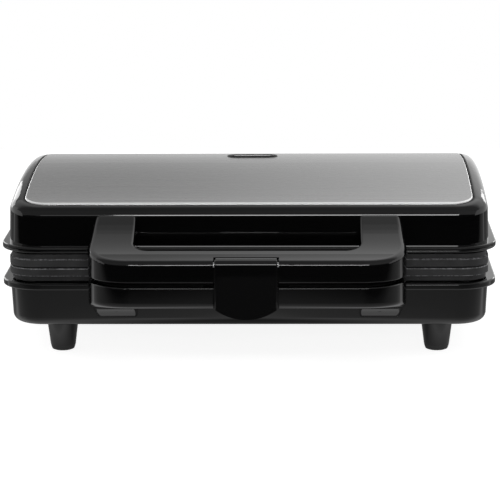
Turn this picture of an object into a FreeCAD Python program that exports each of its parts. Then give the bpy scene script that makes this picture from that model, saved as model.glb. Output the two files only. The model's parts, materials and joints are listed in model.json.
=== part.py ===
import FreeCAD, Part
import math
import os
from FreeCAD import Vector

# Donut maker: two hinged housings, each with a cast mould plate, a heating element and half of a grip.
# Millimetres. +Z up, +X right, front (grip side) towards -Y, floor at Z = 0.
# Solids are drawn about the middle of the mould plates and moved to the middle of the whole part at export.

# Housings, shared sizes
flange_width = 255.0
flange_depth = 175.5
flange_corner = 21.5
flange_edge = 0.9
housing_wall = 2.5
mouth_inset = 6.0
seat_inset = 2.2

# Base housing
leg_height = 17.0
base_height = 23.05
base_flange_thick = 3.4
base_flange_reach = 3.7
base_draft = 3.0
base_edge = 4.5
base_seat_rise = 0.65

# Legs and rubber feet
leg_side_inset = 26.1
leg_front_inset = 22.05
leg_top_diameter = 16.7
leg_tip_diameter = 12.4
foot_height = 3.0
foot_round = 1.5
foot_stem_radius = 3.2
foot_stem_length = 7.0

# Cooling slots in the underside
vent_count = 5
vent_pitch = 9.0
vent_length = 34.0
vent_width = 3.0
vent_x = 66.0

# Lid housing
lid_wall_height = 22.25
lid_flange_thick = 3.2
lid_flange_reach = 3.65
lid_draft = 1.8
lid_edge = 6.0
lid_seat_drop = 1.5
dome_rise = 9.55
roof_thick = 2.5

# Steel top panel
panel_side_margin = 8.6
panel_front_margin = 6.2
panel_corner = 10.5
panel_thick = 0.8
panel_proud = 0.3
panel_edge = 0.55
panel_gap = 0.6

# Lamp window and lamps
window_y = 27.0
window_length = 28.0
window_width = 13.0
bezel_gap = 0.25
bezel_width = 2.6
bezel_proud = 0.7
bezel_edge = 0.6
lens_gap = 0.15
lens_sunk = 0.2
lens_flange = 1.6
lens_flange_thick = 1.5
lamp_spacing = 13.0
lamp_radius = 2.8
lamp_gap = 0.15
lamp_depth = 5.0
lamp_holder_length = 25.5
lamp_holder_width = 11.0
lamp_holder_height = 8.0
lamp_holder_corner = 0.35

# Mould plates
plate_gap = 0.4
plate_margin = 0.35
plate_corner = 14.0
plate_height = 6.7
plate_rim = 4.1
plate_edge = 0.6
plate_web = 3.0
skirt_inset = 1.2
skirt_wall = 3.0

# Ring moulds
ring_columns = 3
ring_rows = 2
ring_side_margin = 14.0
ring_front_margin = 12.25
ring_gap = 9.0
ring_half_width = 12.5
ring_depth = 10.5
ring_wall = 2.8

# Plate bosses and screws
boss_front_inset = 17.75
boss_radius = 4.5
boss_hole_depth = 9.0
sensor_pad_radius = 9.5
sensor_pad_height = 1.0
screw_radius = 1.8
screw_gap = 0.06
screw_pass_gap = 0.4
screw_head_radius = 3.5
screw_head_height = 2.4
screw_reach = 8.0
counterbore_gap = 0.4
post_radius = 5.4
post_seat = 4.0

# Heating elements
element_radius = 3.3
element_seat = 0.3
element_overrun = 10.0
element_bend = 13.0
element_end_x = 14.0
element_end_length = 24.0
terminal_radius = 1.5
terminal_length = 7.0

# Heat shields
shield_side_margin = 19.85
shield_front_margin = 9.1
shield_corner = 16.0
shield_thick = 0.6
shield_rim = 4.0

# Thermostat and thermal fuse
thermostat_flange_radius = 8.5
thermostat_flange_height = 3.0
thermostat_cap_radius = 6.8
thermostat_cap_height = 7.0
thermostat_tab_width = 6.3
thermostat_tab_thick = 0.8
thermostat_tab_height = 3.5
thermostat_tab_spread = 4.0
fuse_radius = 2.0
fuse_length = 12.0
fuse_lead_radius = 0.6
fuse_lead_length = 4.0
fuse_clip_width = 7.0
fuse_clip_length = 5.0
fuse_clip_thick = 0.7

# Terminal block
block_wall_gap = 32.05
block_length = 34.0
block_width = 13.0
block_height = 6.2
block_ways = 3
block_way_pitch = 10.0
block_way_radius = 2.2
block_way_depth = 3.0

# Cord gland
gland_drop = 15.6
gland_radius = 7.4
gland_bore = 3.6
gland_gap = 0.15
gland_lip = 2.2
gland_lip_thick = 2.0
gland_nozzle_radius = 6.4
gland_nozzle_length = 5.0

# Grip halves, measured from the lid's front wall and from the plane where the plates part
grip_reach = 42.0
grip_root_width = 155.0
grip_front_width = 164.4
grip_corner = 22.0
grip_window_width = 113.6
grip_window_depth = 25.7
grip_window_corner = 8.0
grip_split = 1.1
upper_root_rise = 27.3
lower_root_rise = 25.8
grip_knee_reach = 22.0
grip_knee_rise = 13.9
grip_knee_radius = 80.0
upper_grip_rise = 12.3
lower_grip_rise = 11.8
grip_edge = 3.0
grip_inner_edge = 1.6
grip_meeting_edge = 0.7
grip_plate_gap = 0.5
grip_pocket_start = 13.0
grip_pocket_wall = 3.8
grip_cover_wall = 2.4
grip_cover_thick = 2.0
grip_cover_gap = 0.15

# Grip screws
grip_screw_x = 67.0
grip_screw_rise = 19.0
grip_screw_radius = 1.75
grip_screw_reach = 9.0
grip_screw_end_gap = 1.0

# Latch and its pin
latch_width = 31.2
latch_side_gap = 0.7
latch_face_proud = 3.0
latch_tongue_back = 0.25
latch_thick = 3.0
latch_band_top = 7.7
latch_band_bottom = 10.9
latch_tongue_drop = 16.8
latch_tongue_sagitta = 5.3
latch_edge = 2.8
latch_band_round = 1.0
latch_side_edge = 0.7
latch_pin_back = 5.7
latch_pin_rise = 9.9
latch_pin_radius = 1.25
latch_pin_gap = 0.05
latch_pin_hold = 5.0
latch_barrel_radius = 3.4
latch_notch_gap = 0.4
latch_groove = 0.7
hook_gap = 0.4
hook_thick = 1.9
hook_reach = 2.4
lower_notch_depth = 3.0

# Hinges
hinge_x = 70.0
hinge_offset = 11.5
hinge_radius = 6.0
hinge_pin_radius = 2.0
hinge_pin_gap = 0.06
hinge_knuckle_width = 14.0
hinge_ear_width = 5.0
hinge_side_gap = 0.4
hinge_root_near = 3.0
hinge_root_far = 18.0
hinge_root_sink = 2.0

# Heights that follow from the sizes above
base_low = leg_height
base_high = base_low + base_height
floor_top = base_low + housing_wall
base_seat = base_high + base_seat_rise
parting = base_seat + plate_height + plate_gap / 2
lid_seat = parting + plate_gap / 2 + plate_height
lid_low = lid_seat + lid_seat_drop

# Widths that follow
lid_width = flange_width - 2 * lid_flange_reach
lid_depth = flange_depth - 2 * lid_flange_reach
lid_corner = flange_corner - lid_flange_reach
base_width = flange_width - 2 * base_flange_reach
base_depth = flange_depth - 2 * base_flange_reach
base_corner = flange_corner - base_flange_reach
plate_width = lid_width - 2 * plate_margin
plate_depth = lid_depth - 2 * plate_margin
front_wall = -lid_depth / 2
leg_x = base_width / 2 - leg_side_inset
leg_y = base_depth / 2 - leg_front_inset
block_y = base_depth / 2 - block_wall_gap

# The grip's front and the latch that hangs on it
grip_front = front_wall - grip_reach
latch_face = grip_front - latch_face_proud
latch_tongue = latch_face + latch_tongue_back
latch_pin_y = latch_face + latch_pin_back
latch_pin_z = parting + latch_pin_rise
latch_pin_length = latch_width + 2 * (latch_side_gap + latch_pin_hold)

# Ring moulds as large as the plate has room for, and the places between them
ring_room_x = (plate_width - 2 * ring_side_margin - (ring_columns - 1) * ring_gap) / (2 * ring_columns)
ring_room_y = (plate_depth - 2 * ring_front_margin - (ring_rows - 1) * ring_gap) / (2 * ring_rows)
ring_outer = min(ring_room_x, ring_room_y)
ring_radius = ring_outer - ring_half_width
column_pitch = (plate_width - 2 * (ring_side_margin + ring_outer)) / (ring_columns - 1)
row_pitch = (plate_depth - 2 * (ring_front_margin + ring_outer)) / (ring_rows - 1)
boss_x = column_pitch / 2
boss_y = plate_depth / 2 - boss_front_inset
sensor_x = column_pitch / 2
element_run_x = column_pitch + element_overrun
element_run_y = row_pitch / 2
element_end_y = element_run_y + element_end_length
shield_width = lid_width - 2 * shield_side_margin
shield_depth = lid_depth - 2 * shield_front_margin

# The lid's top is part of a long cylinder that lies across the body
dome_radius = ((lid_depth / 2) ** 2 + dome_rise ** 2) / (2 * dome_rise)
dome_top = lid_low + lid_wall_height + dome_rise
dome_axis = dome_top - dome_radius
panel_recess = panel_thick - panel_proud
roof_under = panel_recess + roof_thick

# Levels behind a plate's face
ring_section = (ring_half_width ** 2 + ring_depth ** 2) / (2 * ring_depth)
ring_rise = ring_section - ring_depth
cup_bottom = ring_depth + ring_wall
element_level = cup_bottom + element_seat + element_radius
boss_length = element_level + element_radius + element_seat
post_end = boss_length + shield_thick

# Hinge axis and the shift that centres the whole part on the origin
hinge_y = lid_depth / 2 + hinge_offset
hinge_pin_length = hinge_knuckle_width + 2 * (hinge_side_gap + hinge_ear_width)
body_shift = -(latch_face + hinge_y + hinge_radius) / 2

boss_places = [(x, y) for x in (-boss_x, boss_x) for y in (-boss_y, boss_y)]
leg_places = {
    "front_left": (-leg_x, -leg_y),
    "front_right": (leg_x, -leg_y),
    "rear_left": (-leg_x, leg_y),
    "rear_right": (leg_x, leg_y),
}
UP = Vector(0, 0, 1)
RIGHT = Vector(1, 0, 0)
BACK = Vector(0, 1, 0)
crease_angle = math.radians(15)
beyond = 20.0
overlap = 1.0
near = 1e-3


# Outlines and simple solids
def rounded_wire(corners):
    """Closed wire through (point, radius) corners, with an arc at each corner that has a radius."""
    spans = []
    for index, (point, radius) in enumerate(corners):
        before = (corners[index - 1][0] - point).normalize()
        after = (corners[(index + 1) % len(corners)][0] - point).normalize()
        half = before.getAngle(after) / 2
        reach = radius / math.tan(half)
        inward = (before + after).normalize() * (radius / math.sin(half) - radius)
        spans.append((point + before * reach, point + inward, point + after * reach))
    edges = []
    for index, (start, middle, end) in enumerate(spans):
        if corners[index][1] > 0:
            edges.append(Part.Arc(start, middle, end).toShape())
        following = spans[(index + 1) % len(spans)][0]
        if end.distanceToPoint(following) > 1e-6:
            edges.append(Part.LineSegment(end, following).toShape())
    return Part.Wire(edges)


def body_outline(width, depth, corner, z):
    """Rounded rectangle about the body's middle, as a wire at height z."""
    x = width / 2
    y = depth / 2
    places = [(-x, -y), (x, -y), (x, y), (-x, y)]
    return rounded_wire([(Vector(px, py, z), corner) for px, py in places])


def slab(width, depth, corner, low, high):
    """Upright prism on a rounded rectangle."""
    return Part.Face(body_outline(width, depth, corner, low)).extrude(UP * (high - low))


def stadium(length, width, y, low, high):
    """Upright prism on a slot outline that lies along X."""
    radius = width / 2
    reach = length / 2 - radius
    places = [(-reach, y - radius), (reach, y - radius), (reach, y + radius), (-reach, y + radius)]
    corners = [Vector(px, py, low) for px, py in places]
    left_end = Vector(-length / 2, y, low)
    right_end = Vector(length / 2, y, low)
    edges = [
        Part.LineSegment(corners[0], corners[1]).toShape(),
        Part.Arc(corners[1], right_end, corners[2]).toShape(),
        Part.LineSegment(corners[2], corners[3]).toShape(),
        Part.Arc(corners[3], left_end, corners[0]).toShape(),
    ]
    return Part.Face(Part.Wire(edges)).extrude(UP * (high - low))


def across(corners, half_width):
    """Prism along X on a profile of (y, z, radius) corners."""
    wire = rounded_wire([(Vector(-half_width, y, z), radius) for y, z, radius in corners])
    return Part.Face(wire).extrude(RIGHT * (2 * half_width))


def upright(radius, height, x, y, z):
    """Cylinder along Z."""
    return Part.makeCylinder(radius, height, Vector(x, y, z), UP)


def along_x(radius, length, y, z, x=0.0):
    """Cylinder along X, centred on x."""
    return Part.makeCylinder(radius, length, Vector(x - length / 2, y, z), RIGHT)


def along_y(radius, length, x, y, z):
    """Cylinder along Y that starts at y."""
    return Part.makeCylinder(radius, length, Vector(x, y, z), BACK)


def brick(x_span, y_span, z_span):
    """Box between two values on each axis."""
    sizes = [span[1] - span[0] for span in (x_span, y_span, z_span)]
    return Part.makeBox(*sizes, Vector(x_span[0], y_span[0], z_span[0]))


def turned_over(shape):
    """Mirror image below the parting plane of a piece that lies above it."""
    return shape.mirror(Vector(0, 0, parting), UP)


def creases(shape, wanted):
    """Edges where two faces meet at a corner and whose middle passes a test."""
    found = []
    for edge in shape.Edges:
        middle = edge.valueAt((edge.FirstParameter + edge.LastParameter) / 2)
        if not wanted(middle):
            continue
        faces = shape.ancestorsOfType(edge, Part.Face)
        normals = [face.normalAt(*face.Surface.parameter(middle)) for face in faces]
        if len(normals) == 2 and normals[0].getAngle(normals[1]) > crease_angle:
            found.append(edge)
    return found


def joined(shapes):
    """One clean solid from several that touch."""
    return shapes[0].multiFuse(shapes[1:]).removeSplitter()


# Base housing
def base_form(inset, low, high):
    """Body of the base between two heights, its walls leaning in towards the floor."""
    lean = math.tan(math.radians(base_draft))
    wires = []
    for z in (low, high):
        cut = inset + (base_high - z) * lean
        wires.append(body_outline(base_width - 2 * cut, base_depth - 2 * cut, base_corner - cut, z))
    return Part.makeLoft(wires, True, True)


def flange(low, high):
    """Lip round a housing with softened edges."""
    lip = slab(flange_width, flange_depth, flange_corner, low, high)
    edges = creases(lip, lambda p: min(abs(p.z - low), abs(p.z - high)) < near)
    return lip.makeFillet(flange_edge, edges)


def hinge_lug(x, width, root_y, root_low, root_high):
    """Lug from a rear wall to the hinge axis, tangent to its round end."""
    centre = Vector(0, hinge_y, parting)
    sides = []
    for z, turn in ((root_low, -1), (root_high, 1)):
        root = Vector(0, root_y, z)
        away = root - centre
        swing = math.acos(hinge_radius / away.Length)
        angle = math.atan2(away.z, away.y) - turn * swing
        touch = centre + Vector(0, math.cos(angle), math.sin(angle)) * hinge_radius
        sides.append((root, touch))
    (low_root, low_touch), (high_root, high_touch) = sides
    far = centre + (centre - (low_root + high_root) * 0.5).normalize() * hinge_radius
    edges = [
        Part.LineSegment(low_root, low_touch).toShape(),
        Part.Arc(low_touch, far, high_touch).toShape(),
        Part.LineSegment(high_touch, high_root).toShape(),
        Part.LineSegment(high_root, low_root).toShape(),
    ]
    lug = Part.Face(Part.Wire(edges)).extrude(RIGHT * width)
    return lug.translate(RIGHT * (x - width / 2))


def base_lugs():
    """Two pairs of ears that hold the hinge pins."""
    step = hinge_knuckle_width / 2 + hinge_side_gap + hinge_ear_width / 2
    root_y = base_depth / 2 - hinge_root_sink
    high = base_high - hinge_root_near
    low = base_high - hinge_root_far
    places = [side * hinge_x + way * step for side in (-1, 1) for way in (-1, 1)]
    return [hinge_lug(x, hinge_ear_width, root_y, low, high) for x in places]


def leg_radius(z):
    """Radius of a tapered leg at a height above the floor."""
    share = z / leg_height
    return (leg_tip_diameter + (leg_top_diameter - leg_tip_diameter) * share) / 2


def legs():
    """Four tapered legs on the underside."""
    top = base_low + housing_wall / 2
    height = top - foot_height
    foot = Vector(0, 0, foot_height)
    shape = Part.makeCone(leg_radius(foot_height), leg_radius(top), height, foot)
    return [shape.translated(Vector(x, y, 0)) for x, y in leg_places.values()]


def gland_outline(grow, y, thick):
    """Slot with a round bottom, open towards the rim, as a prism along Y."""
    radius = gland_radius + grow
    z = parting - gland_drop
    top = base_high
    start = Vector(-radius, y, z)
    end = Vector(radius, y, z)
    edges = [
        Part.Arc(start, Vector(0, y, z - radius), end).toShape(),
        Part.LineSegment(end, Vector(radius, y, top)).toShape(),
        Part.LineSegment(Vector(radius, y, top), Vector(-radius, y, top)).toShape(),
        Part.LineSegment(Vector(-radius, y, top), start).toShape(),
    ]
    return Part.Face(Part.Wire(edges)).extrude(BACK * thick)


def grip_screw_passages(sign):
    """Holes through a housing's front wall for the grip screws."""
    radius = grip_screw_radius + screw_pass_gap
    z = parting + sign * grip_screw_rise
    start = front_wall - beyond / 2
    return [along_y(radius, 2 * beyond, side * grip_screw_x, start, z) for side in (-1, 1)]


def lined_up(inset, low, high):
    """Prism on the lid's outline at its lip, drawn in by an inset."""
    return slab(lid_width - 2 * inset, lid_depth - 2 * inset, lid_corner - inset, low, high)


def base_openings():
    """Everything that is cut from the base housing."""
    cuts = []
    seat = parting - plate_gap / 2 - post_end - post_seat
    counterbore = seat - base_low + beyond
    for x, y in boss_places:
        cuts.append(upright(screw_head_radius + counterbore_gap, counterbore, x, y, base_low - beyond))
        cuts.append(upright(screw_radius + screw_pass_gap, beyond, x, y, seat))
    for x, y in leg_places.values():
        cuts.append(upright(foot_stem_radius, foot_stem_length, x, y, foot_height))
    for side in (-1, 1):
        for index in range(vent_count):
            y = (index - (vent_count - 1) / 2) * vent_pitch
            slot = stadium(vent_length, vent_width, y, base_low - overlap, floor_top + overlap)
            cuts.append(slot.translate(RIGHT * (side * vent_x)))
        cuts.append(along_x(hinge_pin_radius, hinge_pin_length, hinge_y, parting, side * hinge_x))
    cuts += grip_screw_passages(-1)
    cuts.append(gland_outline(gland_gap, lid_depth / 2 - mouth_inset - overlap, beyond))
    return cuts


def base_shell():
    """Tub with a flange, a seat for the plate, screw posts, legs and hinge ears."""
    tub = base_form(0, base_low, base_high)
    tub = tub.makeFillet(base_edge, creases(tub, lambda p: abs(p.z - base_low) < near))
    ledge = base_high - base_flange_thick
    seat = lined_up(seat_inset, ledge, base_seat)
    body = joined([tub, flange(ledge, base_high), seat] + legs() + base_lugs())
    mouth = lined_up(mouth_inset, ledge, base_seat)
    body = body.cut([base_form(housing_wall, floor_top, ledge), mouth])
    foot = base_low + overlap
    height = parting - plate_gap / 2 - post_end - foot
    posts = [upright(post_radius, height, x, y, foot) for x, y in boss_places]
    return joined([body] + posts).cut(base_openings())


def rubber_foot(x, y):
    """Rubber tip with a rounded tread and a stem that plugs into the leg."""
    tip = leg_radius(0)
    profile = rounded_wire([
        (Vector(0, 0, 0), 0),
        (Vector(tip, 0, 0), foot_round),
        (Vector(leg_radius(foot_height), 0, foot_height), 0),
        (Vector(foot_stem_radius, 0, foot_height), 0),
        (Vector(foot_stem_radius, 0, foot_height + foot_stem_length), 0),
        (Vector(0, 0, foot_height + foot_stem_length), 0),
    ])
    return Part.Face(profile).revolve(Vector(0, 0, 0), UP, 360).translate(Vector(x, y, 0))


# Lid housing
def dome(drop):
    """Long cylinder whose top is the lid's dome, lowered by some depth."""
    return along_x(dome_radius - drop, flange_width + 2 * beyond, 0, dome_axis)


def dome_layer(shape, upper, lower):
    """Part of an upright prism that lies between two depths under the dome."""
    return shape.common(dome(upper)).cut(dome(lower))


def lid_form(inset, drop, low):
    """Body of the lid above a height, under the dome, its walls leaning in towards the top."""
    lean = math.tan(math.radians(lid_draft))
    wires = []
    for z in (low, dome_top + overlap):
        cut = inset + (z - lid_low) * lean
        wires.append(body_outline(lid_width - 2 * cut, lid_depth - 2 * cut, lid_corner - cut, z))
    return Part.makeLoft(wires, True, True).common(dome(drop))


def panel_outline(grow, low, high):
    """Upright prism on the outline of the steel panel."""
    width = lid_width - 2 * panel_side_margin + 2 * grow
    depth = lid_depth - 2 * panel_front_margin + 2 * grow
    return slab(width, depth, panel_corner + grow, low, high)


def lid_lugs():
    """Two knuckles that turn between the base's ears."""
    root_y = lid_depth / 2 - hinge_root_sink
    low = lid_low + hinge_root_near
    high = lid_low + hinge_root_far
    return [hinge_lug(side * hinge_x, hinge_knuckle_width, root_y, low, high) for side in (-1, 1)]


def lid_openings():
    """Everything that is cut from the lid housing after its hollow."""
    cuts = [dome_layer(panel_outline(panel_gap, lid_low, dome_top + overlap), -overlap, panel_recess)]
    seat = parting + plate_gap / 2 + post_end + post_seat
    for x, y in boss_places:
        cuts.append(upright(screw_head_radius + counterbore_gap, dome_top - seat, x, y, seat))
        cuts.append(upright(screw_radius + screw_pass_gap, beyond, x, y, seat - beyond))
    radius = hinge_pin_radius + hinge_pin_gap
    for side in (-1, 1):
        cuts.append(along_x(radius, hinge_pin_length, hinge_y, parting, side * hinge_x))
    return cuts + grip_screw_passages(1)


def lid_shell():
    """Domed cover with a flange, a seat for the plate, screw posts and hinge knuckles."""
    form = lid_form(0, 0, lid_low)
    on_dome = creases(form, lambda p: abs(math.hypot(p.y, p.z - dome_axis) - dome_radius) < near)
    form = form.makeFillet(lid_edge, on_dome)
    ledge = lid_low + lid_flange_thick
    seat = lined_up(seat_inset, lid_seat, ledge)
    body = joined([form, flange(lid_low, ledge), seat] + lid_lugs())
    mouth = lined_up(mouth_inset, lid_seat, ledge)
    body = body.cut([lid_form(housing_wall, roof_under, ledge), mouth])
    low = parting + plate_gap / 2 + post_end
    under_roof = lid_form(housing_wall, roof_under - overlap, ledge)
    posts = [upright(post_radius, dome_top - low, x, y, low).common(under_roof) for x, y in boss_places]
    body = joined([body] + posts).cut(lid_openings())
    return joined([body, lamp_bezel()]).cut(lens_slot(0))


def top_panel():
    """Pressed steel sheet that follows the dome, with a slot for the lamps."""
    sheet = dome_layer(panel_outline(0, lid_low, dome_top + overlap), -panel_proud, panel_recess)
    rim = dome_radius + panel_proud
    edges = creases(sheet, lambda p: abs(math.hypot(p.y, p.z - dome_axis) - rim) < near)
    sheet = sheet.makeFillet(panel_edge, edges)
    return sheet.cut(window_slot(0))


# Lamp window
def window_slot(grow):
    """Upright prism on the outline of the lamp window."""
    top = dome_top + overlap
    return stadium(window_length + 2 * grow, window_width + 2 * grow, window_y, parting, top)


def lens_slot(grow):
    """Upright prism on the outline of the opening inside the bezel."""
    return window_slot(grow - bezel_gap - bezel_width)


def lamp_bezel():
    """Bead of the lid's roof that stands up through the panel's slot, round the lens."""
    top = dome_radius + panel_proud + bezel_proud
    bead = dome_layer(window_slot(-bezel_gap), -panel_proud - bezel_proud, panel_recess + overlap)
    edges = creases(bead, lambda p: abs(math.hypot(p.y, p.z - dome_axis) - top) < near)
    return bead.makeFillet(bezel_edge, edges)


def indicator_lens():
    """Clear plug in the bezel with a flange under the roof."""
    plug = dome_layer(lens_slot(-lens_gap), lens_sunk - panel_proud - bezel_proud, roof_under)
    collar = dome_layer(lens_slot(lens_flange), roof_under, roof_under + lens_flange_thick)
    return joined([plug, collar])


def lamp_top():
    """Height of the lamp holder's seat under the lens, at the middle of the window."""
    radius = dome_radius - roof_under - lens_flange_thick
    return dome_axis + math.sqrt(radius ** 2 - window_y ** 2)


def lamp_holder():
    """Block under the lens with a socket for each lamp."""
    low = lamp_top() - lamp_holder_height
    block = slab(lamp_holder_length, lamp_holder_width, lamp_holder_corner, low, dome_top)
    block = block.translate(BACK * window_y).common(dome(roof_under + lens_flange_thick))
    floor = lamp_top() - lamp_depth
    for side in (-1, 1):
        block = block.cut(upright(lamp_radius + lamp_gap, beyond, side * lamp_spacing / 2, window_y, floor))
    return block


def lamp(side):
    """Small lamp with a round top, standing in its socket."""
    low = lamp_top() - lamp_depth
    x = side * lamp_spacing / 2
    straight = lamp_depth - lamp_radius - lens_sunk
    body = upright(lamp_radius, straight, x, window_y, low)
    cap = Part.makeSphere(lamp_radius, Vector(x, window_y, low + straight), UP, 0, 90, 360)
    return joined([body, cap])


# Mould plates and what lies behind them. Drawn above the parting plane with the face at plate_gap / 2.
def plate_level(depth):
    """Height of a level behind the face of the upper plate."""
    return parting + plate_gap / 2 + depth


def ring_centres():
    """Middles of the ring moulds."""
    columns = [(i - (ring_columns - 1) / 2) * column_pitch for i in range(ring_columns)]
    rows = [(i - (ring_rows - 1) / 2) * row_pitch for i in range(ring_rows)]
    return [(x, y) for x in columns for y in rows]


def plate_outline(inset, low, high):
    """Upright prism on the plate's outline, drawn in by an inset."""
    return slab(plate_width - 2 * inset, plate_depth - 2 * inset, plate_corner - inset, low, high)


def mould_plate():
    """Cast plate with a rim, a skirt, ring moulds and screw bosses."""
    face = plate_level(0)
    web = plate_level(plate_web)
    rim = plate_outline(0, face, plate_level(plate_rim))
    rim = rim.makeFillet(plate_edge, creases(rim, lambda p: abs(p.z - face) < near))
    skirt = plate_outline(skirt_inset, web, lid_seat)
    hollow = plate_outline(skirt_inset + skirt_wall, web, lid_seat)
    plate = joined([rim, skirt]).cut(hollow)
    middle = face - ring_rise
    root = web - overlap
    behind = brick((-flange_width, flange_width), (-flange_depth, flange_depth), (root, dome_top))
    cups = []
    moulds = []
    for x, y in ring_centres():
        place = Vector(x, y, middle)
        cups.append(Part.makeTorus(ring_radius, ring_section + ring_wall, place).common(behind))
        moulds.append(Part.makeTorus(ring_radius, ring_section, place))
    boss_rise = boss_length - plate_web + overlap
    bosses = [upright(boss_radius, boss_rise, x, y, root) for x, y in boss_places]
    pad_rise = sensor_pad_height + overlap
    pads = [upright(sensor_pad_radius, pad_rise, side * sensor_x, 0, root) for side in (-1, 1)]
    plate = joined([plate] + cups + bosses + pads)
    start = plate_level(boss_length - boss_hole_depth)
    holes = [upright(screw_radius + screw_gap, boss_hole_depth, x, y, start) for x, y in boss_places]
    return plate.cut(moulds + holes)


def heating_element():
    """Tube bent into a loop under the rings, with a terminal on each end."""
    z = plate_level(element_level)
    route = [
        (element_end_x, element_end_y),
        (element_end_x, element_run_y),
        (element_run_x, element_run_y),
        (element_run_x, -element_run_y),
        (-element_run_x, -element_run_y),
        (-element_run_x, element_run_y),
        (-element_end_x, element_run_y),
        (-element_end_x, element_end_y),
    ]
    bends = [0] + [element_bend] * (len(route) - 2) + [0]
    loop = rounded_wire([(Vector(x, y, z), bend) for (x, y), bend in zip(route, bends)])
    path = Part.Wire(Part.sortEdges(loop.Edges[:-1])[0])
    section = Part.Wire(Part.makeCircle(element_radius, Vector(*route[0], z), BACK))
    tube = path.makePipeShell([section], True, False)
    ends = []
    for side in (-1, 1):
        ends.append(along_y(terminal_radius, terminal_length, side * element_end_x, element_end_y, z))
    return joined([tube] + ends)


def heat_shield():
    """Shallow sheet-metal pan that holds the element against the plate."""
    low = plate_level(boss_length - shield_rim)
    top = plate_level(post_end)
    pan = slab(shield_width, shield_depth, shield_corner, low, top)
    width = shield_width - 2 * shield_thick
    depth = shield_depth - 2 * shield_thick
    hollow = slab(width, depth, shield_corner - shield_thick, low, top - shield_thick)
    holes = [upright(screw_radius + screw_pass_gap, beyond, x, y, low) for x, y in boss_places]
    return pan.cut([hollow] + holes)


def plate_screws():
    """Screws that hold the plate and shield to the posts."""
    seat = plate_level(post_end + post_seat)
    length = post_seat + shield_thick + screw_reach
    screws = []
    for x, y in boss_places:
        head = upright(screw_head_radius, screw_head_height, x, y, seat)
        screws.append(joined([head, upright(screw_radius, length, x, y, seat - length)]))
    return Part.Compound(screws)


def thermostat():
    """Disc thermostat with two blade terminals, on its pad behind the upper plate."""
    low = plate_level(plate_web + sensor_pad_height)
    cap_low = low + thermostat_flange_height
    top = cap_low + thermostat_cap_height
    pieces = [
        upright(thermostat_flange_radius, thermostat_flange_height, sensor_x, 0, low),
        upright(thermostat_cap_radius, thermostat_cap_height, sensor_x, 0, cap_low),
    ]
    half = thermostat_tab_width / 2
    thick = thermostat_tab_thick / 2
    rise = (top - overlap, top + thermostat_tab_height)
    for side in (-1, 1):
        x = sensor_x + side * thermostat_tab_spread
        pieces.append(brick((x - thick, x + thick), (-half, half), rise))
    return joined(pieces)


def thermal_fuse():
    """One-shot fuse with its leads, in a strap on the other pad."""
    low = plate_level(plate_web + sensor_pad_height)
    z = low + fuse_clip_thick + fuse_radius
    pieces = [along_x(fuse_radius, fuse_length, 0, z, -sensor_x)]
    pieces.append(along_x(fuse_lead_radius, fuse_length + 2 * fuse_lead_length, 0, z, -sensor_x))
    strap = along_x(fuse_radius + fuse_clip_thick, fuse_clip_length, 0, z, -sensor_x)
    half = fuse_clip_length / 2
    span = (-sensor_x - half, -sensor_x + half)
    foot = brick(span, (-fuse_clip_width, fuse_clip_width), (low, low + fuse_clip_thick))
    return joined(pieces + [strap, foot])


def terminal_block():
    """Block on the base's floor with a clamp hole for each lead."""
    half = block_length / 2
    depth = block_width / 2
    top = floor_top + block_height
    block = brick((-half, half), (block_y - depth, block_y + depth), (floor_top, top))
    for index in range(block_ways):
        x = (index - (block_ways - 1) / 2) * block_way_pitch
        block = block.cut(upright(block_way_radius, beyond, x, block_y, top - block_way_depth))
    return block


def cord_gland():
    """Bush that drops into the rear wall's slot and guides the mains lead."""
    z = parting - gland_drop
    outer = base_depth / 2
    inner = lid_depth / 2 - mouth_inset - gland_gap
    neck = gland_outline(0, inner, outer + base_flange_reach - inner)
    lip = gland_outline(gland_lip, inner - gland_lip_thick, gland_lip_thick)
    nozzle = along_y(gland_nozzle_radius, base_flange_reach + gland_nozzle_length, 0, outer, z)
    body = joined([neck, lip, nozzle])
    return body.cut(along_y(gland_bore, 3 * beyond, 0, inner - beyond, z))


# Grip halves
def grip_plan(inset, root):
    """Outline of the grip's arms and bar, drawn in by an inset, from a root line to the front."""
    back = grip_root_width / 2 - inset
    front = grip_front_width / 2 - inset
    gap = grip_window_width / 2 + inset
    window = front_wall - grip_window_depth - inset
    nose = grip_front + inset
    outer = grip_corner - inset
    corner = grip_window_corner + inset
    places = [
        (-back, root, 0), (-front, nose, outer), (front, nose, outer), (back, root, 0),
        (gap, root, 0), (gap, window, corner), (-gap, window, corner), (-gap, root, 0),
    ]
    return rounded_wire([(Vector(x, y, parting), radius) for x, y, radius in places])


def bar_rise(front_rise, y):
    """Height of the straight top of a grip bar above the parting plane."""
    slope = (grip_knee_rise - front_rise) / (grip_reach - grip_knee_reach)
    return front_rise + slope * (y - grip_front)


def grip_block(front_rise, root_rise, inset, root, low, sink):
    """Arms and bar of a grip half under its swept top."""
    plan = Part.Face(grip_plan(inset, root)).extrude(UP * (2 * root_rise))
    root_top = parting + root_rise - sink
    nose = grip_front - beyond
    profile = [
        (front_wall + beyond, parting + low, 0),
        (nose, parting + low, 0),
        (nose, parting + bar_rise(front_rise, nose) - sink, 0),
        (front_wall - grip_knee_reach, parting + grip_knee_rise - sink, grip_knee_radius),
        (front_wall, root_top, 0),
        (front_wall + beyond, root_top, 0),
    ]
    return plan.common(across(profile, flange_width / 2))


def notch(depth, margin):
    """Space for the latch in the middle of a grip bar."""
    half = latch_width / 2 + latch_side_gap + margin
    back = grip_front + depth + min(margin, grip_cover_wall)
    rise = (parting - beyond, parting + 2 * upper_root_rise)
    return brick((-half, half), (grip_front - beyond, back), rise)


def upper_notch_depth():
    """Depth of the upper notch, clear of the latch's barrel."""
    return latch_pin_y + latch_barrel_radius + latch_notch_gap - grip_front


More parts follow.
